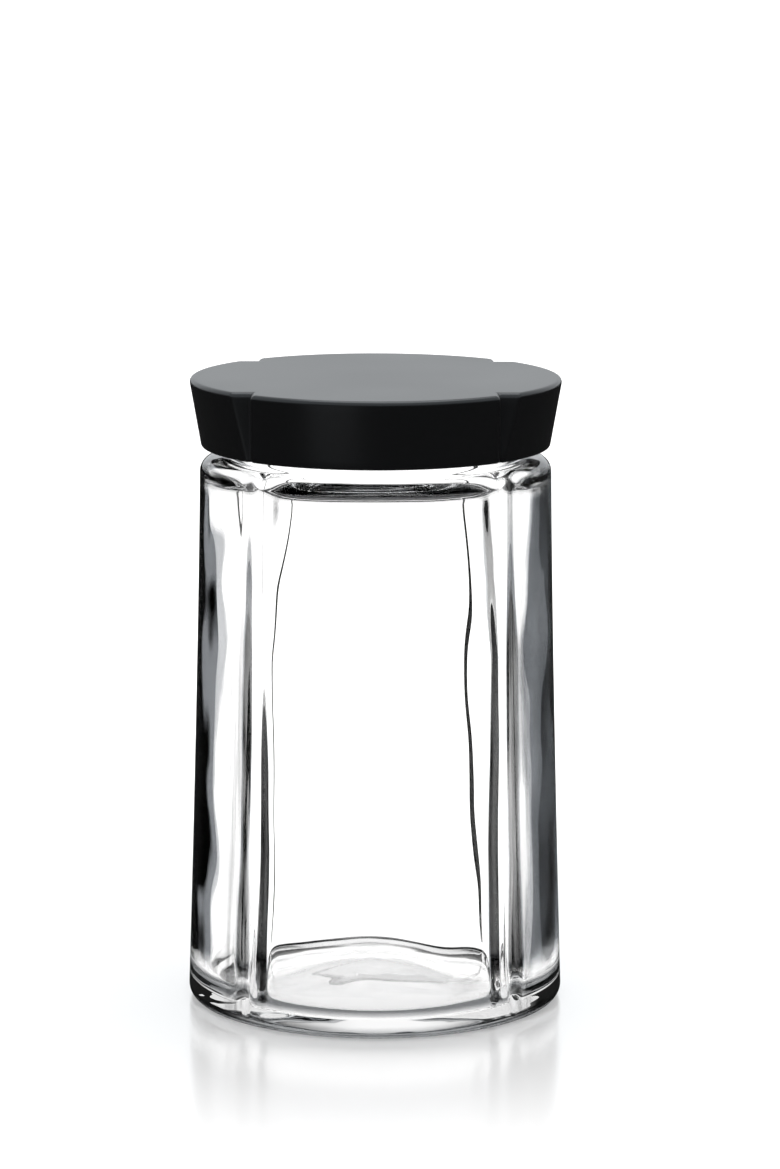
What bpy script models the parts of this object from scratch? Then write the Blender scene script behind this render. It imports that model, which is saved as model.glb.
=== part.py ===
"""A one-litre glass storage jar with a lift-off black lid.

The jar is one piece of clear glass with four V-shaped grooves that start deep at the shoulder, get
shallower on the way down and run out at the foot. Its bottom is pushed up in a soft dome. The lid is
a moulded cap over the neck and a moulded plug inside it. A silicone ring with two lips sits in the
plug's groove and seals against the bore of the neck.
"""
import math

import bmesh
import bpy
from mathutils import Vector

MM = 0.001
CLEARANCE = 0.3 * MM

# Driving dimensions of the glass
SHOULDER_HEIGHT = 155.8 * MM
BODY_TOP_RADIUS = 49.6 * MM
BODY_BASE_RADIUS = 53.5 * MM
BODY_FLARE = 1.3
HEEL_ROUNDING = 3.6 * MM
SHOULDER_ROUNDING = 3.7 * MM
WALL_AT_SHOULDER = 4.6 * MM
WALL_AT_FOOT = 6.1 * MM
FLOOR_THICKNESS = 3.4 * MM
SHOULDER_THICKNESS = 3.2 * MM
INNER_HEEL_ROUNDING = 8.0 * MM
INNER_SHOULDER_ROUNDING = 4.0 * MM
BORE_EDGE_ROUNDING = 2.3 * MM
FOOT_INNER_RADIUS = 43.0 * MM
PUSH_UP_INSIDE = 5.6 * MM
PUSH_UP_BELOW = 4.5 * MM
NECK_RADIUS = 42.0 * MM
NECK_WALL = 3.4 * MM
NECK_FILLET = 1.6 * MM
RIM_HEIGHT = 171.6 * MM

# The four grooves: their two walls stand this far from the jar's middle planes
GROOVE_WALL_AT_SHOULDER = 33.4 * MM
GROOVE_WALL_AT_FOOT = 35.3 * MM
GROOVE_RUN_OUT_HEIGHT = 16.0 * MM
GROOVE_RUN_OUT = 4.4 * MM
GROOVE_EDGE_ROUNDING = 1.8 * MM
GROOVE_ROOT_ROUNDING = 0.035
GROOVE_DIP = 1.3 * MM
GROOVE_DIP_SPREAD = math.radians(4.5)
INNER_RIDGE_AT_SHOULDER = 0.9 * MM
INNER_RIDGE_AT_FOOT = 1.6 * MM
INNER_RIDGE_SPREAD = math.radians(5.5)

# Driving dimensions of the lid, which was put on a little out of line with the grooves
LID_TURN = math.radians(-2.3)
LID_UNDERSIDE = 159.2 * MM
LID_TOP = 178.6 * MM
LID_TOP_RADIUS = 52.6 * MM
LID_BOTTOM_RADIUS = 49.2 * MM
LID_TOP_ROUNDING = 1.5 * MM
LID_BOTTOM_ROUNDING = 0.7 * MM
LID_NOTCH_WALL = 34.15 * MM
LID_NOTCH_EDGE_ROUNDING = 0.35 * MM
LID_NOTCH_ROOT_ROUNDING = 0.008
SKIRT_WALL = 2.2 * MM
SKIRT_FILLET = 1.2 * MM
TOP_PLATE = 2.4 * MM
RIB_COUNT = 8
RIB_WIDTH = 1.6 * MM
RIB_REACH = 50.2 * MM
RIB_TO_PLUG = 0.4 * MM

# Driving dimensions of the plug and the ring
PLUG_RADIUS = 37.4 * MM
PLUG_BOTTOM = 160.6 * MM
PLUG_WALL = 1.9 * MM
PLUG_LEAD_IN = 1.6 * MM
PLUG_FLOOR_FILLET = 2.0 * MM
SEAL_GROOVE_DEPTH = 2.2 * MM
SEAL_GROOVE_BOTTOM = 163.6 * MM
SEAL_GROOVE_TOP = 168.4 * MM
SEAL_LIP_HEIGHT = 0.9 * MM
SEAL_LIP_RISE = 0.35 * MM
SEAL_WEB = 1.0 * MM
TURNED_STEPS = 56

# Angles around one quarter, measured from its groove, where the outline needs a point
GROOVE_POINTS = [math.radians(a) for a in (-6.5, -4.6, -3.3, -2.1, -1.0, 0.0, 1.0, 2.1, 3.3, 4.6, 6.5)]
LOBE_STEPS = 10
WALL_STEPS = 6
RUN_OUT_STEPS = 4
PUSH_UP_STEPS = 6
QUARTER = math.pi / 2


def ring_angles():
    """All angles of one ring: close together at each groove, wider apart along the lobes."""
    angles = []
    lobe_start = GROOVE_POINTS[-1]
    lobe_step = (QUARTER - 2 * lobe_start) / LOBE_STEPS
    for quarter in range(4):
        groove = QUARTER / 2 + quarter * QUARTER
        angles += [groove + offset for offset in GROOVE_POINTS]
        angles += [groove + lobe_start + lobe_step * step for step in range(1, LOBE_STEPS)]
    return angles


def smooth_minimum(a, b, width):
    """The smaller of two values, with the corner between them rounded over the given width."""
    overlap = max(width - abs(a - b), 0.0)
    return min(a, b) - overlap * overlap / (4 * width)


def grooved_radius(angle, radius, wall, edge_rounding, root_rounding):
    """Distance from the axis to a circle from which four square corners are cut away."""
    across = smooth_minimum(abs(math.cos(angle)), abs(math.sin(angle)), root_rounding)
    return smooth_minimum(radius, wall / max(across, 0.01), edge_rounding)


def near_groove(angle, spread):
    """One at the middle of a groove, falling to nothing away from it."""
    offset = (angle % QUARTER) - QUARTER / 2
    return math.exp(-((offset / spread) ** 2))


def circle_point(angle, radius, height):
    return Vector((radius * math.cos(angle), radius * math.sin(angle), height))


def arc(center_r, center_z, radius, start, end, steps):
    """Points (r, z) of an arc in the turning plane, angles in degrees from the outward axis."""
    points = []
    for step in range(steps + 1):
        turn = math.radians(start + (end - start) * step / steps)
        points.append((center_r + radius * math.cos(turn), center_z + radius * math.sin(turn)))
    return points


def closed_loft(name, rings, first_height, last_height):
    """One closed body: quads between rings, and a fan to a point on the axis at each end."""
    bm = bmesh.new()
    loops = [[bm.verts.new(point) for point in ring] for ring in rings]
    first = bm.verts.new((0.0, 0.0, first_height))
    last = bm.verts.new((0.0, 0.0, last_height))
    count = len(loops[0])
    for i in range(count):
        j = (i + 1) % count
        bm.faces.new((first, loops[0][j], loops[0][i]))
        for lower, upper in zip(loops, loops[1:]):
            bm.faces.new((lower[i], lower[j], upper[j], upper[i]))
        bm.faces.new((last, loops[-1][i], loops[-1][j]))
    bmesh.ops.recalc_face_normals(bm, faces=bm.faces)
    return object_from_bmesh(name, bm)


def object_from_bmesh(name, bm):
    mesh = bpy.data.meshes.new(name)
    bm.to_mesh(mesh)
    bm.free()
    obj = bpy.data.objects.new(name, mesh)
    bpy.context.scene.collection.objects.link(obj)
    return obj


def shade_round(obj, angle):
    obj.data.shade_smooth()
    obj.data.set_sharp_from_angle(angle=math.radians(angle))


def turned_piece(name, profile, closed):
    """A profile in the XZ plane, turned round the Z axis by a Screw modifier."""
    bm = bmesh.new()
    verts = [bm.verts.new((r, 0.0, z)) for r, z in profile]
    pairs = list(zip(verts, verts[1:]))
    if closed:
        pairs.append((verts[-1], verts[0]))
    for a, b in pairs:
        bm.edges.new((a, b))
    obj = object_from_bmesh(name, bm)
    screw = obj.modifiers.new("turn", 'SCREW')
    screw.steps = TURNED_STEPS
    screw.render_steps = TURNED_STEPS
    screw.use_merge_vertices = True
    screw.merge_threshold = 0.00001
    screw.use_smooth_shade = True
    return obj


def add_material(obj, name, color, roughness, metallic=0.0, transmission=0.0, ior=1.5, alpha=1.0):
    material = bpy.data.materials.new(name)
    material.use_nodes = True
    shader = material.node_tree.nodes["Principled BSDF"]
    shader.inputs["Base Color"].default_value = (*color, 1.0)
    shader.inputs["Roughness"].default_value = roughness
    shader.inputs["Metallic"].default_value = metallic
    shader.inputs["Transmission Weight"].default_value = transmission
    shader.inputs["IOR"].default_value = ior
    shader.inputs["Alpha"].default_value = alpha
    obj.data.materials.append(material)


def foot_to_shoulder(height, at_foot, at_shoulder, power=1.0):
    """A size that changes steadily, or faster near the foot, on the way up to the shoulder."""
    below = 1.0 - min(max(height / SHOULDER_HEIGHT, 0.0), 1.0)
    return at_shoulder + (at_foot - at_shoulder) * below ** power


def body_radius(height):
    return foot_to_shoulder(height, BODY_BASE_RADIUS, BODY_TOP_RADIUS, BODY_FLARE)


def inner_radius(height):
    return body_radius(height) - foot_to_shoulder(height, WALL_AT_FOOT, WALL_AT_SHOULDER)


def push_up(radius, rise, reach):
    """The bottom's soft dome: highest on the axis, and level with what is round it at its reach."""
    return rise * (1 + math.cos(math.pi * radius / reach)) / 2


def groove_wall(height):
    """Distance of the groove's walls from the middle planes, which grows fast where the groove runs out."""
    below = max(1.0 - height / GROOVE_RUN_OUT_HEIGHT, 0.0)
    wall = foot_to_shoulder(height, GROOVE_WALL_AT_FOOT, GROOVE_WALL_AT_SHOULDER)
    return wall + GROOVE_RUN_OUT * below ** 2


def ridge_height(height):
    return foot_to_shoulder(height, INNER_RIDGE_AT_FOOT, INNER_RIDGE_AT_SHOULDER)


def outer_glass_ring(height, inset=0.0, groove_inset=0.0, dip=0.0):
    """A ring of the outer wall, moved inwards by inset, and lowered by dip at the grooves."""
    points = []
    for angle in ring_angles():
        radius = grooved_radius(angle, body_radius(height) - inset, groove_wall(height) - groove_inset,
                                GROOVE_EDGE_ROUNDING, GROOVE_ROOT_ROUNDING)
        lowered = height - dip * near_groove(angle, GROOVE_DIP_SPREAD)
        points.append(circle_point(angle, radius, lowered))
    return points


def inner_glass_ring(radius, height, ridge):
    """A ring of the inner wall, which swells softly inwards behind each groove."""
    return [circle_point(angle, radius - ridge * near_groove(angle, INNER_RIDGE_SPREAD), height)
            for angle in ring_angles()]


def round_ring(radius, height):
    return [circle_point(angle, radius, height) for angle in ring_angles()]


def outer_glass_rings():
    """From the hollow under the foot, round the heel, up the wall and over the shoulder."""
    rings = []
    for step in range(1, PUSH_UP_STEPS + 1):
        radius = FOOT_INNER_RADIUS * step / PUSH_UP_STEPS
        rings.append(round_ring(radius, push_up(radius, PUSH_UP_BELOW, FOOT_INNER_RADIUS)))
    for r, z in arc(-HEEL_ROUNDING, HEEL_ROUNDING, HEEL_ROUNDING, -90, 0, 4):
        rings.append(outer_glass_ring(z, inset=-r, groove_inset=-r / math.sqrt(2)))
    for step in range(1, RUN_OUT_STEPS + 1):
        height = HEEL_ROUNDING + (GROOVE_RUN_OUT_HEIGHT - HEEL_ROUNDING) * step / RUN_OUT_STEPS
        rings.append(outer_glass_ring(height))
    shoulder_start = SHOULDER_HEIGHT - SHOULDER_ROUNDING
    for step in range(1, WALL_STEPS):
        height = GROOVE_RUN_OUT_HEIGHT + (shoulder_start - GROOVE_RUN_OUT_HEIGHT) * step / WALL_STEPS
        rings.append(outer_glass_ring(height))
    for r, z in arc(-SHOULDER_ROUNDING, shoulder_start, SHOULDER_ROUNDING, 0, 90, 5):
        rise = (z - shoulder_start) / SHOULDER_ROUNDING
        rings.append(outer_glass_ring(z, inset=-r, groove_inset=-r / 2, dip=GROOVE_DIP * rise))
    return rings


def neck_rings():
    """Up the outside of the neck, over the rim and down the bore."""
    rings = []
    for r, z in arc(NECK_RADIUS + NECK_FILLET, SHOULDER_HEIGHT + NECK_FILLET, NECK_FILLET, 270, 180, 3):
        rings.append(round_ring(r, z))
    rim_rounding = NECK_WALL / 2
    for r, z in arc(NECK_RADIUS - rim_rounding, RIM_HEIGHT - rim_rounding, rim_rounding, 0, 180, 6):
        rings.append(round_ring(r, z))
    return rings


def inner_glass_rings():
    """From the bore, under the shoulder, down the inner wall, round the inner heel and up the dome."""
    ceiling = SHOULDER_HEIGHT - SHOULDER_THICKNESS
    bore_edge = NECK_RADIUS - NECK_WALL + BORE_EDGE_ROUNDING
    rings = []
    for r, z in arc(bore_edge, ceiling + BORE_EDGE_ROUNDING, BORE_EDGE_ROUNDING, 180, 270, 3):
        rings.append(round_ring(r, z))
    wall_top = ceiling - INNER_SHOULDER_ROUNDING
    corner = inner_radius(wall_top) - INNER_SHOULDER_ROUNDING
    for r, z in arc(corner, wall_top, INNER_SHOULDER_ROUNDING, 90, 0, 3):
        fade = (r - corner) / INNER_SHOULDER_ROUNDING
        rings.append(inner_glass_ring(r, z, INNER_RIDGE_AT_SHOULDER * fade))
    wall_bottom = FLOOR_THICKNESS + INNER_HEEL_ROUNDING
    for step in range(1, WALL_STEPS):
        height = wall_top + (wall_bottom - wall_top) * step / WALL_STEPS
        rings.append(inner_glass_ring(inner_radius(height), height, ridge_height(height)))
    corner = inner_radius(wall_bottom) - INNER_HEEL_ROUNDING
    for r, z in arc(corner, wall_bottom, INNER_HEEL_ROUNDING, 0, -90, 4):
        rings.append(inner_glass_ring(r, z, ridge_height(z)))
    for step in range(PUSH_UP_STEPS - 1, 0, -1):
        radius = corner * step / PUSH_UP_STEPS
        rings.append(round_ring(radius, FLOOR_THICKNESS + push_up(radius, PUSH_UP_INSIDE, corner)))
    return rings


def make_glass_jar():
    rings = outer_glass_rings() + neck_rings() + inner_glass_rings()
    jar = closed_loft("glass_jar", rings, PUSH_UP_BELOW, FLOOR_THICKNESS + PUSH_UP_INSIDE)
    shade_round(jar, 50)
    add_material(jar, "clear_glass", (0.93, 0.96, 0.95), 0.02, transmission=1.0, ior=1.52, alpha=0.35)
    return jar


def lid_ring(inset, height):
    """A ring of the cap's conical outline with its four V-notches, moved inwards by inset."""
    share = (height - LID_UNDERSIDE) / (LID_TOP - LID_UNDERSIDE)
    radius = LID_BOTTOM_RADIUS + (LID_TOP_RADIUS - LID_BOTTOM_RADIUS) * share
    points = []
    for angle in ring_angles():
        reach = grooved_radius(angle, radius - inset, LID_NOTCH_WALL - inset,
                               LID_NOTCH_EDGE_ROUNDING, LID_NOTCH_ROOT_ROUNDING)
        points.append(circle_point(angle, reach, height))
    return points


def make_lid_cap():
    plate_underside = LID_TOP - TOP_PLATE
    rings = [lid_ring(SKIRT_WALL + SKIRT_FILLET, plate_underside)]
    rings.append(lid_ring(SKIRT_WALL, plate_underside - SKIRT_FILLET))
    rings.append(lid_ring(SKIRT_WALL, LID_UNDERSIDE))
    for r, z in arc(-LID_BOTTOM_ROUNDING, LID_UNDERSIDE + LID_BOTTOM_ROUNDING, LID_BOTTOM_ROUNDING,
                    -90, 0, 3):
        rings.append(lid_ring(-r, z))
    for r, z in arc(-LID_TOP_ROUNDING, LID_TOP - LID_TOP_ROUNDING, LID_TOP_ROUNDING, 0, 90, 5):
        rings.append(lid_ring(-r, z))
    cap = closed_loft("lid_cap", rings, plate_underside, LID_TOP)
    ribs = make_rib_guide(plate_underside + TOP_PLATE / 2)
    ribs.parent = cap
    union = cap.modifiers.new("ribs", 'BOOLEAN')
    union.operation = 'UNION'
    union.object = ribs
    shade_round(cap, 35)
    add_material(cap, "black_moulded_plastic", (0.012, 0.012, 0.013), 0.38)
    return cap


def make_rib_guide(high):
    """Radial ribs that stiffen the top plate and stop against the rim of the glass."""
    bm = bmesh.new()
    inner_end = PLUG_RADIUS + RIB_TO_PLUG
    low = RIM_HEIGHT + CLEARANCE
    for index in range(RIB_COUNT):
        turn = (index + 0.5) * math.tau / RIB_COUNT
        corners = []
        for height in (low, high):
            for along, across in ((inner_end, -1), (RIB_REACH, -1), (RIB_REACH, 1), (inner_end, 1)):
                side = across * RIB_WIDTH / 2
                corners.append(bm.verts.new((along * math.cos(turn) - side * math.sin(turn),
                                             along * math.sin(turn) + side * math.cos(turn), height)))
        a, b, c, d, e, f, g, h = corners
        for face in ((d, c, b, a), (e, f, g, h), (a, b, f, e), (b, c, g, f), (c, d, h, g), (d, a, e, h)):
            bm.faces.new(face)
    guide = object_from_bmesh("rib_guide", bm)
    guide.hide_render = True
    guide.display_type = 'WIRE'
    return guide


def make_lid_plug():
    """A cup welded under the top plate, with a groove round it for the sealing ring."""
    top = LID_TOP - TOP_PLATE - CLEARANCE
    outer = PLUG_RADIUS
    inner = outer - PLUG_WALL - SEAL_GROOVE_DEPTH
    floor = PLUG_BOTTOM + PLUG_WALL
    groove = outer - SEAL_GROOVE_DEPTH
    inside = [(0.0, floor), (inner - PLUG_FLOOR_FILLET, floor), (inner, floor + PLUG_FLOOR_FILLET)]
    seal_groove = [(outer, SEAL_GROOVE_TOP), (groove, SEAL_GROOVE_TOP), (groove, SEAL_GROOVE_BOTTOM),
                   (outer, SEAL_GROOVE_BOTTOM)]
    lead_in = [(outer, PLUG_BOTTOM + PLUG_LEAD_IN), (outer - PLUG_LEAD_IN, PLUG_BOTTOM)]
    profile = inside + [(inner, top), (outer, top)] + seal_groove + lead_in + [(0.0, PLUG_BOTTOM)]
    plug = turned_piece("lid_plug", profile, closed=False)
    add_material(plug, "black_moulded_plastic_plug", (0.014, 0.014, 0.015), 0.42)
    return plug


def make_sealing_ring():
    """A band in the plug's groove with two thin lips that rise towards the bore of the neck."""
    top = SEAL_GROOVE_TOP - CLEARANCE
    bottom = SEAL_GROOVE_BOTTOM + CLEARANCE
    back = PLUG_RADIUS - SEAL_GROOVE_DEPTH + CLEARANCE
    web = back + SEAL_WEB
    tip = NECK_RADIUS - NECK_WALL - CLEARANCE
    profile = [(back, top)]
    for lip_top in (top, bottom + SEAL_LIP_HEIGHT + SEAL_LIP_RISE):
        lip_bottom = lip_top - SEAL_LIP_HEIGHT
        profile += [(web, lip_top - SEAL_LIP_RISE), (tip, lip_top), (tip, lip_bottom),
                    (web, lip_bottom - SEAL_LIP_RISE)]
    profile.append((back, bottom))
    ring = turned_piece("sealing_ring", profile, closed=True)
    add_material(ring, "grey_silicone", (0.09, 0.09, 0.095), 0.55)
    return ring


for old in list(bpy.data.objects):
    bpy.data.objects.remove(old, do_unlink=True)

make_glass_jar()
lid_axis = bpy.data.objects.new("lid_axis", None)
bpy.context.scene.collection.objects.link(lid_axis)
lid_axis.rotation_euler.z = LID_TURN
for piece in (make_lid_cap(), make_lid_plug(), make_sealing_ring()):
    piece.parent = lid_axis
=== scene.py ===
"""A clear glass storage jar with a black lid.

The sections follow the jar as it is put together: the glass, the plug that is pushed into its neck,
the silicone ring on the plug, and the cap on top. The studio and the camera come last.
"""
import math
from functools import partial

import bpy
import numpy as np
from mathutils import Matrix, Vector


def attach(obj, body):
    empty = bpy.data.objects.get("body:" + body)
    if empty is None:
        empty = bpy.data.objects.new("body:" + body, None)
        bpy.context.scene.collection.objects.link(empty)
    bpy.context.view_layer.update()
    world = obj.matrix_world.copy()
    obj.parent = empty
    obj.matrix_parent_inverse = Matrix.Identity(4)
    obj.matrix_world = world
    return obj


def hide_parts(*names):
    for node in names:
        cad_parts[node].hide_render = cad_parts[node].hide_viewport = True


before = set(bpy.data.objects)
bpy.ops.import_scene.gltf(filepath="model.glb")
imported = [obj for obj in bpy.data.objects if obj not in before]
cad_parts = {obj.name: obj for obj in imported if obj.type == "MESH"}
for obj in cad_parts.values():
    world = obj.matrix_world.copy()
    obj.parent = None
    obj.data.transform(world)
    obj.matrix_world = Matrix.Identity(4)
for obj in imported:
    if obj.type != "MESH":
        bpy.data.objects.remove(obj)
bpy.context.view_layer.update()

# Glass jar
# One piece of clear soda-lime glass, blown into a mould. The mould gives the outside its four V-grooves,
# deep at the shoulder, and blowing leaves the inside softly wavy, with a ridge behind each groove.
# The neck is round and its rim is fire-polished. Sizes are in millimetres.
MM = 0.001
SHOULDER = 155.8
BODY_TOP_RADIUS, BODY_FOOT_RADIUS, BODY_FLARE = 49.6, 53.5, 1.3
HEEL_ROUNDING, SHOULDER_ROUNDING = 3.6, 3.7
WALL_AT_SHOULDER, WALL_AT_FOOT, FLOOR, CEILING_WALL = 4.6, 6.1, 3.4, 3.2
THICKER_ON_ONE_SIDE = 1.15
INNER_HEEL, INNER_SHOULDER, BORE_EDGE = 8.0, 4.0, 2.3
NECK_RADIUS, NECK_WALL, NECK_FILLET, RIM = 42.0, 3.4, 1.6, 171.6
PUSH_UP_INSIDE, PUSH_UP_BELOW, HOLLOW_RADIUS, STAND_RADIUS = 5.6, 4.5, 43.0, 46.0
GOB_RADIUS, GOB_RISE = 5.0, 0.1
FLOOR_RIPPLE, FLOOR_RIPPLE_EDGE = 0.05, 8
GROOVE_AT_SHOULDER, GROOVE_AT_FOOT = 33.36, 35.33
EDGE_AT_SHOULDER, EDGE_AT_FOOT = 2.76, 2.33
ROOT_AT_SHOULDER, ROOT_AT_FOOT = 0.075, 0.03
GROOVE_RUN_OUT, RUN_OUT_RISE = 16.0, 4.4
GROOVE_DIP = 1.3
GLASS_IOR = 1.52
# how far the inner ridges stand out at some heights, and how wide they are in degrees
RIDGE_HEIGHTS = (15, 50, 80, 105, 125, 147)
RIDGES = {"left": (1.94, 1.96, 1.05, 0.62, 0.75, 2.28), "right": (2.81, 2.48, 1.4, 0.92, 1.24, 2.19),
          "back": (0.4, 0.33, 0.39, 0.38, 0.04, 0.02), "front spread": (3.9, 4.3, 3.8, 3.6, 7.1, 10.4),
          "back spread": (5.7, 5.7, 5.7, 5.8, 6.1, 6.0)}


def linear(hex_colour):
    """An sRGB hex colour as the linear colour that shaders take."""
    parts = [int(hex_colour[i:i + 2], 16) / 255 for i in (1, 3, 5)]
    return tuple(p / 12.92 if p <= 0.04045 else ((p + 0.055) / 1.055) ** 2.4 for p in parts) + (1.0,)


def add_node(tree, kind, inputs=(), stops=(), **settings):
    """Adds one node with its settings and links.

    inputs is a list, or names its sockets. Each input is a value, the output that feeds it, or a node,
    which feeds it from its first output. stops are a colour ramp's, as (position, hex colour), and the
    ramp is even before and after them.
    """
    node = tree.nodes.new(kind)
    for name, value in settings.items():
        setattr(node, name, value)
    if stops:
        elements = node.color_ramp.elements
        elements[0].position, elements[0].color = stops[0][0], linear(stops[0][1])
        elements[1].position, elements[1].color = stops[-1][0], linear(stops[-1][1])
        for position, colour in stops[1:-1]:
            elements.new(position).color = linear(colour)
    for socket, value in inputs.items() if isinstance(inputs, dict) else enumerate(inputs):
        if isinstance(value, bpy.types.Node):
            value = next(output for output in value.outputs if output.enabled)
        if isinstance(value, bpy.types.NodeSocket):
            tree.links.new(value, node.inputs[socket])
        else:
            node.inputs[socket].default_value = value
    return node


def start_tree(name, inputs):
    """A new tree with a profile, inputs of the given kinds and a material, and what it is given."""
    tree = bpy.data.node_groups.new(name, "GeometryNodeTree")
    tree.interface.new_socket("Profile", in_out="INPUT", socket_type="NodeSocketGeometry")
    for item, kind in inputs.items():
        tree.interface.new_socket(item, in_out="INPUT", socket_type="NodeSocket" + kind)
    tree.interface.new_socket("Material", in_out="INPUT", socket_type="NodeSocketMaterial")
    tree.interface.new_socket("Mesh", in_out="OUTPUT", socket_type="NodeSocketGeometry")
    return tree, add_node(tree, "NodeGroupInput").outputs


def end_tree(tree, geometry, material):
    """Makes the geometry real and gives it its material."""
    whole = add_node(tree, "GeometryNodeRealizeInstances", [geometry])
    covered = add_node(tree, "GeometryNodeSetMaterial", {"Geometry": whole, "Material": material})
    add_node(tree, "NodeGroupOutput", [covered])


def make_wall_tree():
    """Turns a profile round the axis, cuts the grooves, and adds ridges and waves to the rings that ask."""
    tree, given = start_tree("Grooved turned wall", {
        "Steps Around": "Int", "Sag Spread": "Float", "Turn": "Float", "Thick Side": "Float",
        "Wave Height": "Float", "Wave Length": "Float", "Ripple Length": "Float",
        "Wave Stretch": "Float", "Wave Seed": "Float"})
    add = partial(add_node, tree)
    diagonal, crowding, least, side_focus, merge_distance = math.pi / 4, 0.1375, 0.01, 8.0, 2e-7

    # a grid whose columns go round the axis, with one point for each ring of the profile
    rings = add("GeometryNodeAttributeDomainSize", [given["Profile"]]).outputs["Point Count"]
    columns = add("ShaderNodeMath", [given["Steps Around"], 1.0], operation="ADD")
    grid = add("GeometryNodeMeshGrid", {"Vertices X": columns, "Vertices Y": rings})
    index = add("GeometryNodeInputIndex")
    column = add("ShaderNodeMath", [index, 0.5], operation="ADD")
    column = add("ShaderNodeMath", [column, rings], operation="DIVIDE")
    column = add("ShaderNodeMath", [column], operation="FLOOR")
    passed = add("ShaderNodeMath", [column, rings], operation="MULTIPLY")
    ring = add("ShaderNodeMath", [index, passed], operation="SUBTRACT")
    even = add("ShaderNodeMath", [column, given["Steps Around"]], operation="DIVIDE")
    even = add("ShaderNodeMath", [even, math.tau], operation="MULTIPLY")
    # points crowd together at the grooves, where the glass turns quickly
    crowd = add("ShaderNodeMath", [even, diagonal], operation="SUBTRACT")
    crowd = add("ShaderNodeMath", [crowd, 4.0], operation="MULTIPLY")
    crowd = add("ShaderNodeMath", [crowd], operation="SINE")
    crowd = add("ShaderNodeMath", [crowd, crowding], operation="MULTIPLY")
    angle = add("ShaderNodeMath", [even, crowd], operation="SUBTRACT")

    def of_ring(fact):
        """A fact of the ring that a point belongs to."""
        value = add("GeometryNodeInputNamedAttribute", {"Name": fact}, data_type="FLOAT")
        return add("GeometryNodeSampleIndex", {
            "Geometry": given["Profile"], "Value": value, "Index": ring}, data_type="FLOAT", domain="POINT")

    # the outline is a circle, cut off by the flank of the nearest groove, with a rounded edge and root
    cosine = add("ShaderNodeMath", [angle], operation="COSINE")
    sine = add("ShaderNodeMath", [angle], operation="SINE")
    along_x = add("ShaderNodeMath", [cosine], operation="ABSOLUTE")
    along_y = add("ShaderNodeMath", [sine], operation="ABSOLUTE")
    across = add("ShaderNodeMath", [along_x, along_y, of_ring("root")], operation="SMOOTH_MIN")
    across = add("ShaderNodeMath", [across, least], operation="MAXIMUM")
    flank = add("ShaderNodeMath", [of_ring("groove"), across], operation="DIVIDE")
    outline = add("ShaderNodeMath", [of_ring("radius"), flank, of_ring("edge")], operation="SMOOTH_MIN")

    from_groove = add("ShaderNodeMath", [angle, diagonal], operation="PINGPONG")
    from_groove = add("ShaderNodeMath", [diagonal, from_groove], operation="SUBTRACT")

    def bell(spread):
        """A bell curve across each groove, 1 in its middle."""
        share = add("ShaderNodeMath", [from_groove, spread], operation="DIVIDE")
        fall = add("ShaderNodeMath", [share, share], operation="MULTIPLY")
        fall = add("ShaderNodeMath", [fall, -1.0], operation="MULTIPLY")
        return add("ShaderNodeMath", [fall], operation="EXPONENT")

    is_front = add("ShaderNodeMath", [sine, 0.0], operation="LESS_THAN")
    is_left = add("ShaderNodeMath", [cosine, 0.0], operation="LESS_THAN")
    rise = add("ShaderNodeMix", {"Factor": is_left, "A": of_ring("right"), "B": of_ring("left")})
    rise = add("ShaderNodeMix", {"Factor": is_front, "A": of_ring("back"), "B": rise})
    spread = add("ShaderNodeMix", {
        "Factor": is_front, "A": of_ring("back spread"), "B": of_ring("front spread")})
    ridge = add("ShaderNodeMath", [rise, bell(spread)], operation="MULTIPLY")
    sag = add("ShaderNodeMath", [of_ring("sag"), bell(given["Sag Spread"])], operation="MULTIPLY")
    sagged = add("ShaderNodeMath", [of_ring("height"), sag], operation="SUBTRACT")
    place = add("ShaderNodeCombineXYZ", [
        add("ShaderNodeMath", [outline, cosine], operation="MULTIPLY"),
        add("ShaderNodeMath", [outline, sine], operation="MULTIPLY"),
        add("ShaderNodeMath", [sagged, given["Wave Stretch"]], operation="MULTIPLY")])

    def waves(length, share):
        """Soft waves of the given length, in and out by a share of the wave height."""
        scale = add("ShaderNodeMath", [1.0, length], operation="DIVIDE")
        wave = add("ShaderNodeTexNoise", {
            "Vector": place, "W": given["Wave Seed"], "Detail": 1.0, "Scale": scale}, noise_dimensions="4D")
        wave = add("ShaderNodeMath", [wave, 0.5], operation="SUBTRACT")
        wave = add("ShaderNodeMath", [wave, 2.0], operation="MULTIPLY")
        most = add("ShaderNodeMath", [given["Wave Height"], share], operation="MULTIPLY")
        return add("ShaderNodeMath", [wave, most], operation="MULTIPLY")

    towards_side = add("ShaderNodeMath", [cosine, 0.0], operation="MAXIMUM")
    towards_side = add("ShaderNodeMath", [towards_side, side_focus], operation="POWER")
    extra = add("ShaderNodeMath", [given["Thick Side"], of_ring("wave")], operation="MULTIPLY")
    extra = add("ShaderNodeMath", [extra, towards_side], operation="MULTIPLY")
    reach = outline
    for thickness in (ridge, extra):
        reach = add("ShaderNodeMath", [reach, thickness], operation="SUBTRACT")
    reach = add("ShaderNodeMath", [reach, waves(given["Wave Length"], of_ring("wave"))], operation="ADD")
    ripples = waves(given["Ripple Length"], of_ring("ripple"))
    height = add("ShaderNodeMath", [sagged, ripples], operation="ADD")
    turned = add("ShaderNodeMath", [angle, given["Turn"]], operation="ADD")
    x, y = [add("ShaderNodeMath", [reach, add("ShaderNodeMath", [turned], operation=side)],
                operation="MULTIPLY") for side in ("COSINE", "SINE")]
    spot = add("ShaderNodeCombineXYZ", [x, y, height])
    placed = add("GeometryNodeSetPosition", {"Geometry": grid, "Position": spot})
    closed = add("GeometryNodeMergeByDistance", {"Geometry": placed, "Distance": merge_distance})
    end_tree(tree, closed, given["Material"])
    return tree


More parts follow.
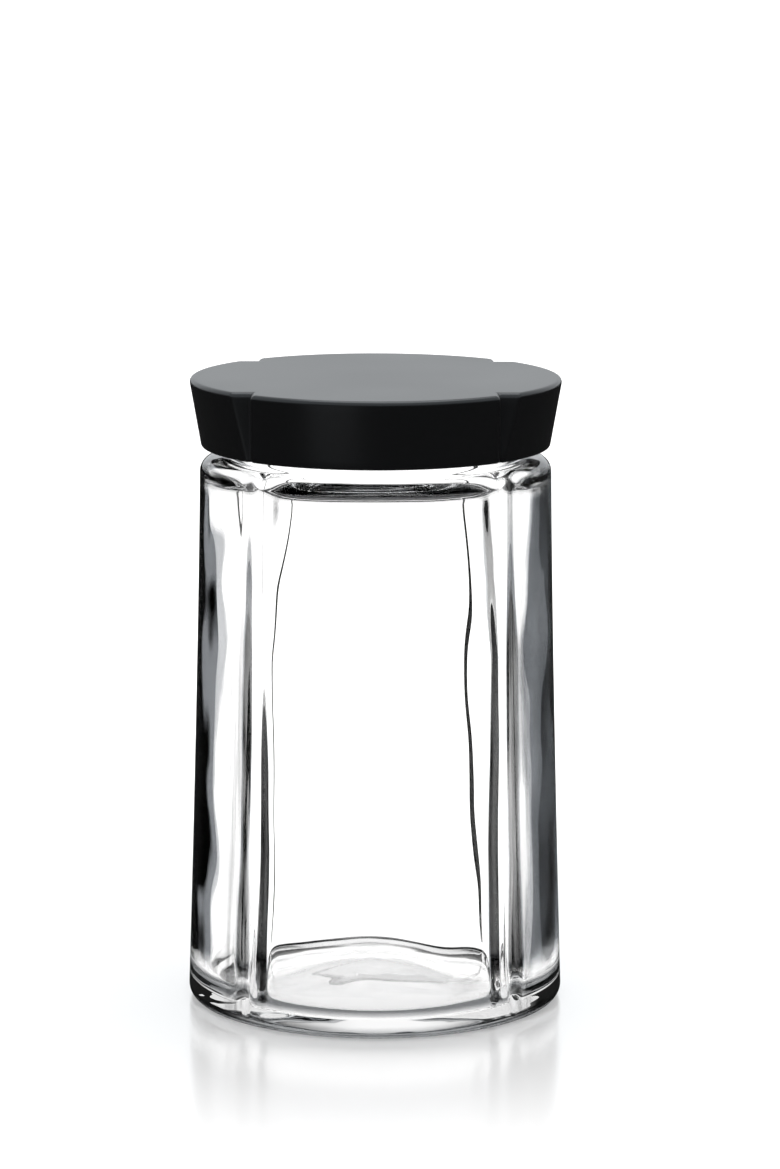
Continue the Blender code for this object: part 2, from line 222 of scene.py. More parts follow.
wall_tree = make_wall_tree()
RING_FACTS = ("radius", "height", "groove", "edge", "root", "sag", "wave", "ripple", *RIDGES)
NO_GROOVE = 900.0


def ring(radius, height, groove=NO_GROOVE, edge=1.0, root=0.01, sag=0.0, wave=0.0, ripple=0.0,
         ridges=None):
    """One ring of a profile. Root, wave and ripple are shares, and the spreads of ridges degrees."""
    made = [radius * MM, height * MM, groove * MM, edge * MM, root, sag * MM, wave, ripple]
    for name in RIDGES:
        value = ridges[name] if ridges else 1.0 if "spread" in name else 0.0
        made.append(math.radians(value) if "spread" in name else value * MM)
    return made


def plain_rings(points):
    """Round rings at the given radii and heights."""
    return [ring(radius, height) for radius, height in points]


def built_by(name, tree, profile, material, sharp_from, inputs):
    """A plain mesh that a tree makes from the points of a profile and the given inputs."""
    mesh = bpy.data.meshes.new(name)
    mesh.from_pydata([(r[0], 0.0, r[1]) for r in profile], [], [])
    for i, fact in enumerate(RING_FACTS if profile else ()):
        mesh.attributes.new(fact, "FLOAT", "POINT").data.foreach_set("value", [r[i] for r in profile])
    blank = bpy.data.objects.new(name + "_profile", mesh)
    bpy.context.scene.collection.objects.link(blank)
    modifier = blank.modifiers.new("build", "NODES")
    modifier.node_group = tree
    for item in tree.interface.items_tree:
        if item.name in inputs:
            modifier[item.identifier] = inputs[item.name]
        elif item.name == "Material":
            modifier[item.identifier] = material
    evaluated = blank.evaluated_get(bpy.context.evaluated_depsgraph_get())
    finished = bpy.data.meshes.new_from_object(evaluated)
    finished.name = name
    bpy.data.objects.remove(blank)
    finished.shade_smooth()
    finished.set_sharp_from_angle(angle=math.radians(sharp_from))
    piece = bpy.data.objects.new(name, finished)
    bpy.context.scene.collection.objects.link(piece)
    return piece


def turned_piece(name, profile, material, sharp_from, **inputs):
    """A closed body made by the wall tree from a list of rings, from axis to axis or back to its start."""
    plain = {"Steps Around": 192, "Sag Spread": 0.08, "Turn": 0.0, "Thick Side": 0.0, "Wave Height": 0.0,
             "Wave Length": 1.0, "Ripple Length": 1.0, "Wave Stretch": 1.0, "Wave Seed": 0.0}
    return built_by(name, wall_tree, profile, material, sharp_from, {**plain, **inputs})


def arc(center_r, center_z, radius, start, end, steps):
    """Points (r, z) of an arc, angles in degrees from the outward direction."""
    turns = np.radians(np.linspace(start, end, steps + 1))
    return [(center_r + radius * math.cos(turn), center_z + radius * math.sin(turn)) for turn in turns]


def from_foot(height, at_foot, at_shoulder, power=1.0):
    """A size that changes on the way from the foot up to the shoulder."""
    below = 1.0 - min(max(height / SHOULDER, 0.0), 1.0)
    return at_shoulder + (at_foot - at_shoulder) * below ** power


def body_radius(height):
    """The outer wall's radius, without its grooves."""
    return from_foot(height, BODY_FOOT_RADIUS, BODY_TOP_RADIUS, BODY_FLARE)


def bore_at(height):
    """The inner wall's radius, without its ridges and waves."""
    return body_radius(height) - from_foot(height, WALL_AT_FOOT, WALL_AT_SHOULDER)


def outside(height, inset=0.0, groove_inset=0.0, sag=0.0):
    """A ring of the outer wall with its grooves, moved inwards by inset."""
    below = min(max(1 - height / GROOVE_RUN_OUT, 0.0), 1.0)
    groove = from_foot(height, GROOVE_AT_FOOT, GROOVE_AT_SHOULDER) - groove_inset
    return ring(body_radius(height) - inset, height, groove + RUN_OUT_RISE * below ** 2,
                from_foot(height, EDGE_AT_FOOT, EDGE_AT_SHOULDER),
                from_foot(height, ROOT_AT_FOOT, ROOT_AT_SHOULDER), sag)


def inside(radius, height, share=1.0):
    """A ring of the inner wall, with its ridges and waves at the given share."""
    ridges = {name: float(np.interp(height, RIDGE_HEIGHTS, sizes)) for name, sizes in RIDGES.items()}
    for name in ("left", "right", "back"):
        ridges[name] *= share
    return ring(radius, height, wave=share, ridges=ridges)


def push_up(radius, rise, reach):
    """The bottom's soft dome, highest on the axis and level with its surroundings at its reach."""
    return rise * (1 + math.cos(math.pi * radius / reach)) / 2


def glass_profile():
    """From the middle of the underside, up the outside, over the rim and down to the middle of the floor."""
    hollow = np.linspace(0, HOLLOW_RADIUS, 24)
    rings = plain_rings((r, push_up(r, PUSH_UP_BELOW, HOLLOW_RADIUS)) for r in hollow)
    rings.append(ring(STAND_RADIUS, 0))
    for r, z in arc(-HEEL_ROUNDING, HEEL_ROUNDING, HEEL_ROUNDING, -90, 0, 14):
        rings.append(outside(z, -r, -r / math.sqrt(2)))
    shoulder_start = SHOULDER - SHOULDER_ROUNDING
    for z in np.linspace(HEEL_ROUNDING, shoulder_start, 60)[1:-1]:
        rings.append(outside(z))
    for r, z in arc(-SHOULDER_ROUNDING, shoulder_start, SHOULDER_ROUNDING, 0, 90, 14):
        rings.append(outside(z, -r, -r / 2, GROOVE_DIP * (z - shoulder_start) / SHOULDER_ROUNDING))
    neck_foot = NECK_RADIUS + NECK_FILLET
    rings.append(ring(neck_foot + 1, SHOULDER))
    rings += plain_rings(arc(neck_foot, SHOULDER + NECK_FILLET, NECK_FILLET, 270, 180, 6))
    rings += plain_rings((NECK_RADIUS, z) for z in (160, 164, 168))
    lip = NECK_WALL / 2
    rings += plain_rings(arc(NECK_RADIUS - lip, RIM - lip, lip, 0, 180, 12))
    rings += plain_rings((NECK_RADIUS - NECK_WALL, z) for z in (168, 164, 160, 157))
    ceiling = SHOULDER - CEILING_WALL
    bore = NECK_RADIUS - NECK_WALL + BORE_EDGE
    rings += plain_rings(arc(bore, ceiling + BORE_EDGE, BORE_EDGE, 180, 270, 7))
    wall_top, wall_foot = ceiling - INNER_SHOULDER, FLOOR + INNER_HEEL
    corner = bore_at(wall_top) - INNER_SHOULDER
    for r, z in arc(corner, wall_top, INNER_SHOULDER, 90, 0, 10):
        rings.append(inside(r, z, (r - corner) / INNER_SHOULDER))
    for z in np.linspace(wall_top, wall_foot, 60)[1:-1]:
        rings.append(inside(bore_at(z), z))
    corner = bore_at(wall_foot) - INNER_HEEL
    for r, z in arc(corner, wall_foot, INNER_HEEL, 0, -90, 14):
        rings.append(inside(r, z, (z - FLOOR) / INNER_HEEL))
    for r in np.linspace(corner, 0, 40)[1:]:
        gob = GOB_RISE / (1 + math.exp((r - GOB_RADIUS) * 2))
        share = min((corner - r) / FLOOR_RIPPLE_EDGE, r / FLOOR_RIPPLE_EDGE, 1)
        dome = push_up(r, PUSH_UP_INSIDE, corner)
        rings.append(ring(r, FLOOR + dome + gob, ripple=FLOOR_RIPPLE * share))
    return rings


def new_material(name):
    """An empty material and its tree."""
    material = bpy.data.materials.new(name)
    material.use_nodes = True
    material.node_tree.nodes.clear()
    return material, material.node_tree


def tired_ray(tree, path):
    """1 for a ray that has been reflected so often that it is about to be dropped."""
    most_reflections = 3.5
    return add_node(tree, "ShaderNodeMath", [path["Glossy Depth"], most_reflections],
                    operation="GREATER_THAN")


def mirror_ray(tree, path):
    """1 for a ray that comes from a reflection. Rays bent by glass count as glossy too, and give 0."""
    fresh = add_node(tree, "ShaderNodeMath", [path["Is Glossy Ray"], tired_ray(tree, path)],
                     operation="SUBTRACT")
    return add_node(tree, "ShaderNodeMath", [fresh, path["Is Transmission Ray"]],
                    operation="SUBTRACT", use_clamp=True)


def make_clear_glass():
    """Clear soda-lime glass, which bends what is behind it and gives the jar its dark outlines.

    Light that total reflection catches in the wall goes dark. In the foot and the neck it gets out.
    A Map Range lists its value, the range that the value comes in and the range that it is turned into.
    """
    material, tree = new_material("clear_soda_lime_glass")
    add = partial(add_node, tree)
    path = add("ShaderNodeLightPath").outputs
    place = add("ShaderNodeTexCoord").outputs["Object"]
    axes = add("ShaderNodeSeparateXYZ", [place]).outputs
    height = axes["Z"]
    facing = add("ShaderNodeLayerWeight", {"Blend": 0.5}).outputs["Facing"]
    clear = add("ShaderNodeBsdfTransparent")
    # painted reflection: seen in a reflection, the glass is painted grey, which darkens the jar's reflection
    # in the floor
    painted_grey_in_reflections = add("ShaderNodeMix", {
        "Factor": mirror_ray(tree, path), "A": linear("#ffffff"), "B": linear("#9b9da0")},
        data_type="RGBA")
    bent = add("ShaderNodeBsdfRefraction", {"Color": painted_grey_in_reflections, "IOR": GLASS_IOR, "Roughness": 0.0})
    mirrored = add("ShaderNodeBsdfAnisotropic", {"Color": linear("#e4e6e8"), "Roughness": 0.0})

    def soft_grain(across, along, detail=1.0):
        """Soft noise with its grain in millimetres, across and along the jar's axis."""
        scale = (1 / (across * MM), 1 / (across * MM), 1 / (along * MM))
        fitted = add("ShaderNodeMapping", {"Vector": place, "Scale": scale})
        return add("ShaderNodeTexNoise", {"Vector": fitted, "Scale": 1.0, "Detail": detail})

    # Inside the glass a share of the light is reflected near the critical angle, which lifts black to
    # grey. The angle drifts a little from place to place. Towards +X, on the thick side, the band is
    # widened: painted light that turns that side's dark outline greyer.
    critical_facing = 0.236
    drift = add("ShaderNodeMapRange", [soft_grain(14, 26), 0.3, 0.7, -0.022, 0.022])
    painted_light_towards_x = add("ShaderNodeMapRange", [axes["X"], 30 * MM, 44 * MM, 1.0, 0.22])
    uneven = add("ShaderNodeMath", [facing, drift], operation="ADD")
    uneven = add("ShaderNodeMath", [uneven, critical_facing], operation="SUBTRACT")
    uneven = add("ShaderNodeMath", [uneven, painted_light_towards_x, critical_facing], operation="MULTIPLY_ADD")
    near_critical = add("ShaderNodeValToRGB", [uneven], stops=[
        (0.222, "#000000"), (critical_facing, "#dcdcdc"), (0.264, "#d0d0d0"), (0.276, "#000000")])
    from_inside = add("ShaderNodeNewGeometry").outputs["Backfacing"]
    near_critical = add("ShaderNodeMath", [near_critical, from_inside], operation="MULTIPLY")
    glancing = add("ShaderNodeValToRGB", [facing], stops=[
        (0.66, "#000000"), (0.82, "#5c5c5c"), (1.0, "#b4b4b4")])
    caught = add("ShaderNodeMath", [near_critical, glancing], operation="MAXIMUM")
    wall = add("ShaderNodeMixShader", [caught, bent, mirrored])

    # A little light scatters in a wall seen at a slant, so its darkest parts are not quite black.
    haze = add("ShaderNodeValToRGB", [facing], stops=[
        (0.3, "#000000"), (0.5, "#343434"), (1.0, "#484848")])
    wall = add("ShaderNodeMixShader", [haze, wall, clear])

    # Painted light streaks: fine streaks on the front grooves' flanks towards the sides let the background
    # straight through, fewer of them on the ridge itself and near the shoulder.
    sizes = add("ShaderNodeVectorMath", [place], operation="ABSOLUTE")
    sizes = add("ShaderNodeSeparateXYZ", [sizes]).outputs
    at_groove = add("ShaderNodeMath", [sizes["X"], sizes["Y"]], operation="SUBTRACT")
    at_groove = add("ShaderNodeMapRange", [at_groove, -10 * MM, 22 * MM, 0.0, 1.0])
    at_groove = add("ShaderNodeValToRGB", [at_groove], stops=[
        (0.0, "#000000"), (0.12, "#606060"), (0.34, "#606060"), (0.44, "#f0f0f0"), (0.64, "#f0f0f0"),
        (0.75, "#000000")])
    in_front = add("ShaderNodeMapRange", [axes["Y"], -30 * MM, -20 * MM, 1.0, 0.0])
    grain = add("ShaderNodeValToRGB", [soft_grain(1.6, 60, 2.0)], stops=[
        (0.36, "#000000"), (0.46, "#8c8c8c"), (0.66, "#c0c0c0")])
    fewer = add("ShaderNodeMapRange", [height, 95 * MM, 125 * MM, 1.0, 0.4])
    painted_light_streaks = at_groove
    for share in (in_front, grain, fewer):
        painted_light_streaks = add("ShaderNodeMath", [painted_light_streaks, share], operation="MULTIPLY")

    # The near heel, the thickest glass, is painted grey there: painted shade on the foot. The mould has
    # chilled it uneven.
    near_wall_surfaces = 2.5
    flat = add("ShaderNodeVectorMath", [place, (1.0, 1.0, 0.0)], operation="MULTIPLY")
    radius = add("ShaderNodeVectorMath", [flat], operation="LENGTH").outputs["Value"]
    heel_shade_mask = add("ShaderNodeMapRange", [radius, 40 * MM, 47 * MM, 0.0, 1.0])
    under = add("ShaderNodeMapRange", [height, 1.5 * MM, 4 * MM, 1.0, 0.0])
    near = add("ShaderNodeMath", [path["Transmission Depth"], near_wall_surfaces], operation="LESS_THAN")
    for share in (under, near):
        heel_shade_mask = add("ShaderNodeMath", [heel_shade_mask, share], operation="MULTIPLY")
    painted_heel_shade = add("ShaderNodeMix", {"Factor": heel_shade_mask, "A": linear("#ffffff"), "B": linear("#96989a")},
                data_type="RGBA")
    chill = add("ShaderNodeBump", {"Height": soft_grain(16, 16), "Strength": 1.0, "Distance": 0.4 * MM})
    thick = add("ShaderNodeBsdfGlass", {
        "Color": painted_heel_shade, "IOR": GLASS_IOR, "Roughness": 0.0, "Normal": chill})

    # How much of the caught light gets out, from the foot at 0 to the rim at 1. Light that the foot has
    # thrown up into the far wall gets out too.
    ends = add("ShaderNodeMath", [height, RIM * MM], operation="DIVIDE")
    ends = add("ShaderNodeValToRGB", [ends], stops=[
        (0.066, "#ffffff"), (0.09, "#000000"), (0.853, "#000000"), (0.865, "#c0c0c0"),
        (0.878, "#c0c0c0"), (0.886, "#404040"), (0.893, "#404040"), (0.902, "#ffffff")])
    thrown_up = add("ShaderNodeMath", [path["Glossy Depth"], 0.5], operation="GREATER_THAN")
    far = add("ShaderNodeMath", [path["Transmission Depth"], near_wall_surfaces], operation="GREATER_THAN")
    low = add("ShaderNodeMapRange", [height, 30 * MM, 50 * MM, 1.0, 0.0])
    for share in (far, low):
        thrown_up = add("ShaderNodeMath", [thrown_up, share], operation="MULTIPLY")
    ends = add("ShaderNodeMath", [ends, thrown_up], operation="MAXIMUM")
    glass = add("ShaderNodeMixShader", [ends, wall, thick])

    # painted light streaks, shadows and light that is about to be dropped go straight on
    straight = painted_light_streaks
    for share in (path["Is Shadow Ray"], tired_ray(tree, path)):
        straight = add("ShaderNodeMath", [straight, share], operation="MAXIMUM")
    seen = add("ShaderNodeMixShader", [straight, glass, clear])
    add("ShaderNodeOutputMaterial", [seen])
    return material


glass_jar = turned_piece("blown_glass_jar", glass_profile(), make_clear_glass(), 60, **{
    "Steps Around": 480, "Sag Spread": math.radians(4.5), "Thick Side": THICKER_ON_ONE_SIDE * MM,
    "Wave Height": 1.1 * MM, "Wave Length": 30 * MM, "Ripple Length": 24 * MM, "Wave Stretch": 0.6,
    "Wave Seed": 3.0})
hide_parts("glass_jar")
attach(glass_jar, "jar")

# Lid plug
# A cup of black ABS, moulded by itself and joined to the cap for good, which goes down inside the neck.
# It is closed at the bottom and has a groove round it, which holds the sealing ring.
PLUG_RADIUS, PLUG_BOTTOM, PLUG_WALL = 37.4, 160.6, 1.9
PLUG_LEAD_IN, PLUG_FILLET, EDGE_BREAK = 1.6, 2, 0.2
LID_TOP, TOP_PLATE, CLEARANCE = 178.6, 2.4, 0.3
SEAL_DEPTH, SEAL_BOTTOM, SEAL_TOP = 2.2, 163.6, 168.4
SPARK_GRAIN, PLASTIC_CLOUD = 0.6, 50


def make_black_plastic(name, colour, roughness):
    """Black ABS from a spark-eroded mould, which leaves a fine even grain that dulls its shine.

    The grain is too fine to show, so it is drawn coarser than it is.
    """
    material, tree = new_material(name)
    add = partial(add_node, tree)
    place = add("ShaderNodeTexCoord").outputs["Object"]
    cloud, pits = [add("ShaderNodeTexNoise", {"Vector": place, "Scale": 1 / (size * MM), "Detail": 1.0})
                   for size in (PLASTIC_CLOUD, SPARK_GRAIN)]
    tone = add("ShaderNodeMix", {"Factor": cloud, "A": linear(colour[0]), "B": linear(colour[1])},
               data_type="RGBA")
    shine = add("ShaderNodeMapRange", [cloud, 0.3, 0.7, *roughness])
    bump = add("ShaderNodeBump", {"Height": pits, "Strength": 0.12, "Distance": SPARK_GRAIN * MM / 10})
    plastic = add("ShaderNodeBsdfPrincipled", {
        "Base Color": tone, "Roughness": shine, "Normal": bump, "IOR": 1.5,
        "Specular Tint": linear("#f3f9ff")})
    add("ShaderNodeOutputMaterial", [plastic])
    return material


def plug_profile():
    """From the middle of the underside, up past the groove and down to the middle of the cup's floor."""
    rings = plain_rings([(0, PLUG_BOTTOM), (20, PLUG_BOTTOM)])
    lead_in = arc(PLUG_RADIUS - PLUG_LEAD_IN, PLUG_BOTTOM + PLUG_LEAD_IN, PLUG_LEAD_IN, -90, 0, 6)
    rings += plain_rings(lead_in)
    root = PLUG_RADIUS - SEAL_DEPTH
    top = LID_TOP - TOP_PLATE - CLEARANCE
    inner = root - PLUG_WALL
    rings += plain_rings([
        (PLUG_RADIUS, SEAL_BOTTOM - EDGE_BREAK), (PLUG_RADIUS - EDGE_BREAK, SEAL_BOTTOM),
        (root, SEAL_BOTTOM), (root, SEAL_TOP), (PLUG_RADIUS - EDGE_BREAK, SEAL_TOP),
        (PLUG_RADIUS, SEAL_TOP + EDGE_BREAK), (PLUG_RADIUS, top), (inner, top)])
    floor = PLUG_BOTTOM + PLUG_WALL
    rings += plain_rings(arc(inner - PLUG_FILLET, floor + PLUG_FILLET, PLUG_FILLET, 0, -90, 5))
    return rings + plain_rings([(15, floor), (0, floor)])


lid_plug = turned_piece("moulded_plug", plug_profile(),
                        make_black_plastic("black_abs_plug", ("#101011", "#131314"), (0.34, 0.4)), 35)
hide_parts("lid_plug")
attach(lid_plug, "lid")

# Sealing ring
# Soft grey silicone, moulded, stretched over the plug into its groove. Its two thin lips rise towards
# the bore and press on it.
RING_BACK, RING_WEB, RING_TIP = 35.5, 36.5, 38.3
LIP_HEIGHT, LIP_RISE = 0.9, 0.35
SILICONE_CLOUD, SILICONE_DENT = 12, 0.2


def make_silicone():
    """Moulded silicone: dull and slightly cloudy, with a dusty bloom at grazing angles."""
    material, tree = new_material("grey_moulded_silicone")
    add = partial(add_node, tree)
    place = add("ShaderNodeTexCoord").outputs["Object"]
    cloud = add("ShaderNodeTexNoise", {"Vector": place, "Scale": 1 / (SILICONE_CLOUD * MM), "Detail": 2.0})
    tone = add("ShaderNodeMix", {"Factor": cloud, "A": linear("#55565a"), "B": linear("#606166")},
               data_type="RGBA")
    bump = add("ShaderNodeBump", {"Height": cloud, "Strength": 0.1, "Distance": SILICONE_DENT * MM})
    rubber = add("ShaderNodeBsdfPrincipled", {
        "Base Color": tone, "Roughness": 0.55, "IOR": 1.41, "Sheen Weight": 0.15, "Normal": bump})
    add("ShaderNodeOutputMaterial", [rubber])
    return material


def sealing_profile():
    """Up the outside, round the tips of the two lips, and back down the band."""
    low, high = SEAL_BOTTOM + CLEARANCE, SEAL_TOP - CLEARANCE
    tip = LIP_HEIGHT / 2
    rings = [ring(RING_BACK, low)]
    for lip in (low, high - LIP_HEIGHT - LIP_RISE):
        rings.append(ring(RING_WEB, lip))
        rings += plain_rings(arc(RING_TIP - tip, lip + LIP_RISE + tip, tip, -80, 100, 8))
        rings.append(ring(RING_WEB, lip + LIP_HEIGHT))
    return rings + plain_rings([(RING_BACK, high), (RING_BACK, low)])


sealing_ring = turned_piece("moulded_sealing_ring", sealing_profile(), make_silicone(), 50)
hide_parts("sealing_ring")
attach(sealing_ring, "seal")

# Lid cap
# A shallow cone moulded in black ABS, wider at the top, with four V-notches in line with the grooves.
# Its flat top is satin, and eight ribs under it stiffen the plate.
LID_TURN = math.radians(-2.3)
LID_UNDERSIDE = 159.2
LID_TOP_RADIUS, LID_BOTTOM_RADIUS = 52.6, 49.2
LID_TOP_ROUNDING, LID_BOTTOM_ROUNDING = 1.5, 0.7
NOTCH_WALL, NOTCH_EDGE, NOTCH_ROOT = 34.15, 0.5, 0.012
SKIRT_WALL, SKIRT_FILLET, SKIRT_CHAMFER = 2.2, 1.2, 0.3
RIB_COUNT, RIB_WIDTH, RIB_START, RIB_REACH, RIB_FOOT, RIB_OVERLAP = 8, 1.6, 37.8, 50.2, 171.9, 0.1


def cap_ring(inset, height):
    """A ring of the cap's notched cone, moved inwards by inset."""
    share = (height - LID_UNDERSIDE) / (LID_TOP - LID_UNDERSIDE)
    radius = LID_BOTTOM_RADIUS + (LID_TOP_RADIUS - LID_BOTTOM_RADIUS) * share
    return ring(radius - inset, height, NOTCH_WALL - inset, NOTCH_EDGE, NOTCH_ROOT)


def cap_profile():
    """From the middle of the plate's underside, down the skirt and up the flank to the top's middle."""
    under = LID_TOP - TOP_PLATE
    rings = plain_rings((r, under) for r in (0, 20, 34))
    for t in np.linspace(0, math.pi / 2, 6):
        inset = SKIRT_WALL + SKIRT_FILLET * (1 - math.sin(t))
        rings.append(cap_ring(inset, under - SKIRT_FILLET * (1 - math.cos(t))))
    skirt = np.linspace(under - SKIRT_FILLET, LID_UNDERSIDE + SKIRT_CHAMFER, 8)[1:]
    rings += [cap_ring(SKIRT_WALL, z) for z in skirt]
    rings += [cap_ring(SKIRT_WALL - SKIRT_CHAMFER, LID_UNDERSIDE)]
    start, end = LID_UNDERSIDE + LID_BOTTOM_ROUNDING, LID_TOP - LID_TOP_ROUNDING
    bottom_edge = arc(-LID_BOTTOM_ROUNDING, start, LID_BOTTOM_ROUNDING, -90, 0, 6)
    rings += [cap_ring(-r, z) for r, z in bottom_edge]
    rings += [cap_ring(0, z) for z in np.linspace(start, end, 10)[1:-1]]
    top_edge = arc(-LID_TOP_ROUNDING, end, LID_TOP_ROUNDING, 0, 90, 10)
    rings += [cap_ring(-r, z) for r, z in top_edge]
    rings += [cap_ring(inset, LID_TOP) for inset in (2.5, 4, 7, 12)]
    return rings + plain_rings((r, LID_TOP) for r in (30, 20, 10, 0))


def make_rib_tree():
    """Ribs of one size, spread evenly round the axis."""
    tree, given = start_tree("Ribs under the plate", {
        "Count": "Int", "Width": "Float", "Start": "Float", "Reach": "Float", "Foot": "Float",
        "Top": "Float", "Turn": "Float"})
    add = partial(add_node, tree)
    long = add("ShaderNodeMath", [given["Reach"], given["Start"]], operation="SUBTRACT")
    tall = add("ShaderNodeMath", [given["Top"], given["Foot"]], operation="SUBTRACT")
    size = add("ShaderNodeCombineXYZ", [long, given["Width"], tall])
    bar = add("GeometryNodeMeshCube", {"Size": size})
    outwards = add("ShaderNodeMath", [given["Reach"], given["Start"]], operation="ADD")
    outwards = add("ShaderNodeMath", [outwards, 2.0], operation="DIVIDE")
    upwards = add("ShaderNodeMath", [tall, 2.0], operation="DIVIDE")
    upwards = add("ShaderNodeMath", [given["Foot"], upwards], operation="ADD")
    middle = add("ShaderNodeCombineXYZ", [outwards, 0.0, upwards])
    rib = add("GeometryNodeTransform", {"Geometry": bar, "Translation": middle})
    spots = add("GeometryNodePoints", {"Count": given["Count"]})
    step = add("ShaderNodeMath", [math.tau, given["Count"]], operation="DIVIDE")
    turn = add("ShaderNodeMath", [add("GeometryNodeInputIndex"), 0.5], operation="ADD")
    turn = add("ShaderNodeMath", [turn, step], operation="MULTIPLY")
    turn = add("ShaderNodeMath", [given["Turn"], turn], operation="ADD")
    spun = add("ShaderNodeCombineXYZ", [0.0, 0.0, turn])
    spread = add("GeometryNodeInstanceOnPoints", {"Points": spots, "Instance": rib, "Rotation": spun})
    end_tree(tree, spread, given["Material"])
    return tree


cap_plastic = make_black_plastic("black_abs_cap", ("#0c0c0d", "#0f0f10"), (0.27, 0.3))
lid_cap = turned_piece("moulded_cap", cap_profile(), cap_plastic, 35, **{
    "Steps Around": 480, "Turn": LID_TURN})
lid_ribs = built_by("cap_ribs", make_rib_tree(), [], cap_plastic, 30, {
    "Count": RIB_COUNT, "Width": RIB_WIDTH * MM, "Start": RIB_START * MM, "Reach": RIB_REACH * MM,
    "Foot": RIB_FOOT * MM, "Top": (LID_TOP - TOP_PLATE + RIB_OVERLAP) * MM, "Turn": LID_TURN})
for piece in (lid_cap, lid_ribs):
    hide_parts("lid_cap")
    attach(piece, "lid")

# Studio
# A white glossy floor that runs out into a white surround, a broad soft light overhead and a weak one
# in front. The floor lies a hair under the foot. Sizes and places are in metres.
FLOOR_HALF, FLOOR_DROP = 30, 0.0002
floor_mesh = bpy.data.meshes.new("studio_floor")
floor_mesh.from_pydata([(x * FLOOR_HALF, y * FLOOR_HALF, -FLOOR_DROP)
                        for x, y in ((-1, -1), (1, -1), (1, 1), (-1, 1))], [], [(0, 1, 2, 3)])
studio_floor = bpy.data.objects.new("studio_floor", floor_mesh)
bpy.context.scene.collection.objects.link(studio_floor)


def make_floor_white():
    """White acrylic sheet: it glows to pure white further out, and mirrors the jar faintly."""
    material, tree = new_material("white_acrylic_floor")
    add = partial(add_node, tree)
    path = add("ShaderNodeLightPath").outputs
    place = add("ShaderNodeTexCoord").outputs["Object"]
    distance = add("ShaderNodeVectorMath", [place], operation="LENGTH").outputs["Value"]
    # painted reflection: seen in a reflection, the white sheet is painted dark grey, which keeps the cap's
    # reflections dark
    sheet_dark_in_reflections = add("ShaderNodeMix", {
        "Factor": mirror_ray(tree, path), "A": linear("#f2f2f2"), "B": linear("#262626")},
        data_type="RGBA")
    matt = add("ShaderNodeBsdfDiffuse", {"Color": sheet_dark_in_reflections})
    gloss = add("ShaderNodeBsdfAnisotropic", {"Color": linear("#ffffff"), "Roughness": 0.16})
    seen = add("ShaderNodeMath", [path["Is Camera Ray"], path["Is Transmission Ray"]], operation="MAXIMUM")
    level = add("ShaderNodeMapRange", [distance, 0.08, 0.5, 0.22, 0.6])
    level = add("ShaderNodeMix", {"Factor": path["Is Transmission Ray"], "A": level, "B": 0.42})
    level = add("ShaderNodeMath", [seen, level], operation="MULTIPLY")
    glow = add("ShaderNodeEmission", {"Strength": level})
    lit = add("ShaderNodeAddShader", [matt, glow])
    # only what is near the jar is mirrored, and only where the floor is seen straight
    shine = add("ShaderNodeMapRange", [distance, 0.06, 0.2, 0.42, 0.0])
    shine = add("ShaderNodeMath", [shine, path["Is Camera Ray"]], operation="MULTIPLY")
    polished = add("ShaderNodeMixShader", [shine, lit, gloss])
    add("ShaderNodeOutputMaterial", [polished])
    return material


floor_mesh.materials.append(make_floor_white())


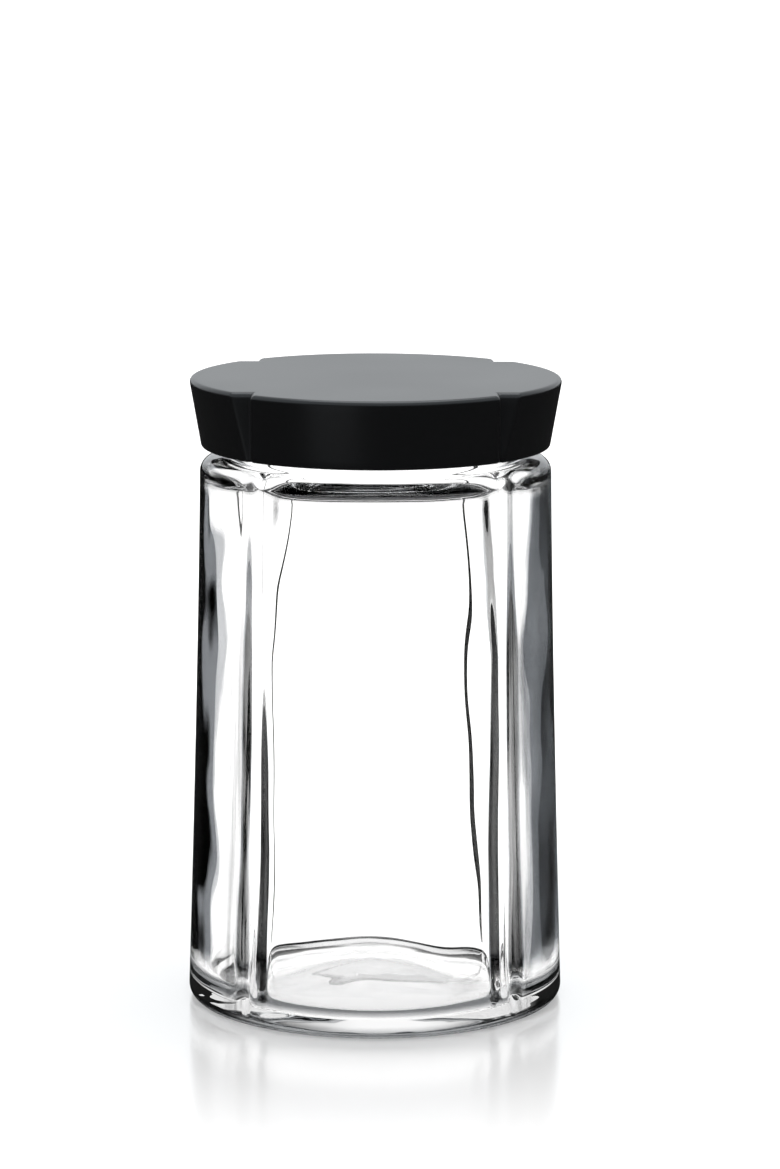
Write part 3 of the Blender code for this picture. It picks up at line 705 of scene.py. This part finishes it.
def make_surround():
    """White where it is seen straight. Mirrored, it is white behind the jar and above, dark in front."""
    world = bpy.data.worlds.new("white_surround")
    world.use_nodes = True
    tree = world.node_tree
    tree.nodes.clear()
    add = partial(add_node, tree)
    path = add("ShaderNodeLightPath").outputs
    tired, mirror = tired_ray(tree, path), mirror_ray(tree, path)
    direction = add("ShaderNodeTexCoord").outputs["Generated"]
    axes = add("ShaderNodeSeparateXYZ", [direction]).outputs
    backward = axes["Y"]

    behind = add("ShaderNodeMapRange", [backward, 0.1, 0.8, 0.06, 0.98], interpolation_type="SMOOTHSTEP")
    overhead = add("ShaderNodeMapRange", [axes["Z"], 0.02, 0.2, 0.0, 1.0], interpolation_type="SMOOTHSTEP")
    mirrored = add("ShaderNodeMath", [behind, overhead], operation="MAXIMUM")

    # Through the glass the sides are dark. Light that was reflected often sees a narrower patch of white.
    sideways = add("ShaderNodeMath", [axes["X"]], operation="ABSOLUTE")
    narrower = add("ShaderNodeMath", [tired, 0.38], operation="MULTIPLY")
    sideways = add("ShaderNodeMath", [sideways, narrower], operation="ADD")
    between = add("ShaderNodeMapRange", [sideways, 0.45, 0.75, 1.0, 0.012], interpolation_type="SMOOTHSTEP")
    not_in_front = add("ShaderNodeMapRange", [backward, -0.3, 0.1, 0.45, 1.0])
    through = add("ShaderNodeMath", [between, not_in_front], operation="MULTIPLY")
    through_glass = add("ShaderNodeMath", [path["Is Transmission Ray"], tired], operation="MAXIMUM")

    # what lights matt surfaces is a little dimmer than white
    scattered = add("ShaderNodeMath", [path["Diffuse Depth"], 0.5], operation="GREATER_THAN")
    level = 1.0
    for share, other_level in ((through_glass, through), (mirror, mirrored), (scattered, 0.75)):
        level = add("ShaderNodeMix", {"Factor": share, "A": level, "B": other_level})
    cool = add("ShaderNodeMix", {"Factor": mirror, "A": linear("#ffffff"), "B": linear("#f6fafd")},
               data_type="RGBA")
    surround = add("ShaderNodeBackground", {"Color": cool, "Strength": level})
    add("ShaderNodeOutputWorld", [surround])
    return world


bpy.context.scene.world = make_surround()


def add_softbox(name, place, aim, size, energy):
    """A square lamp with a soft edge, turned towards a point."""
    lamp = bpy.data.lights.new(name, "AREA")
    lamp.size, lamp.energy = size, energy
    softbox = bpy.data.objects.new(name, lamp)
    turn = (Vector(aim) - Vector(place)).to_track_quat("-Z", "Y").to_matrix().to_4x4()
    softbox.matrix_world = Matrix.Translation(place) @ turn
    softbox.visible_camera = softbox.visible_transmission = False
    bpy.context.scene.collection.objects.link(softbox)


add_softbox("overhead_softbox", (0.1, 0.2, 1.5), (0, 0, 0.1), 1.2, 10)
add_softbox("front_softbox", (-0.17, -0.32, 0.01), (0, 0, 0.16), 0.2, 0.04)

# Camera
# The photograph's angle: a long lens 1.3 m away, a little to the left of the front, looking 10 degrees
# down. Its place is in metres and its angles are in degrees.
LENS_PIXELS, PHOTO_HEIGHT, SENSOR = 4653.2, 1169, 36.0
CAMERA_PLACE, CAMERA_TURN, CAMERA_DIP, CAMERA_ROLL = (0.00412, -1.3, 0.3518), -2.3, 10.15, 0.12
camera_data = bpy.data.cameras.new("photo_camera")
camera_data.sensor_width = SENSOR
camera_data.lens = LENS_PIXELS / PHOTO_HEIGHT * SENSOR
camera_data.clip_end = 100
camera = bpy.data.objects.new("photo_camera", camera_data)
camera.matrix_world = (Matrix.Rotation(math.radians(CAMERA_TURN), 4, "Z") @ Matrix.Translation(CAMERA_PLACE)
                       @ Matrix.Rotation(math.radians(90 - CAMERA_DIP), 4, "X")
                       @ Matrix.Rotation(math.radians(CAMERA_ROLL), 4, "Z"))
bpy.context.scene.collection.objects.link(camera)
bpy.context.scene.camera = camera
bpy.context.scene.view_settings.view_transform = "Standard"
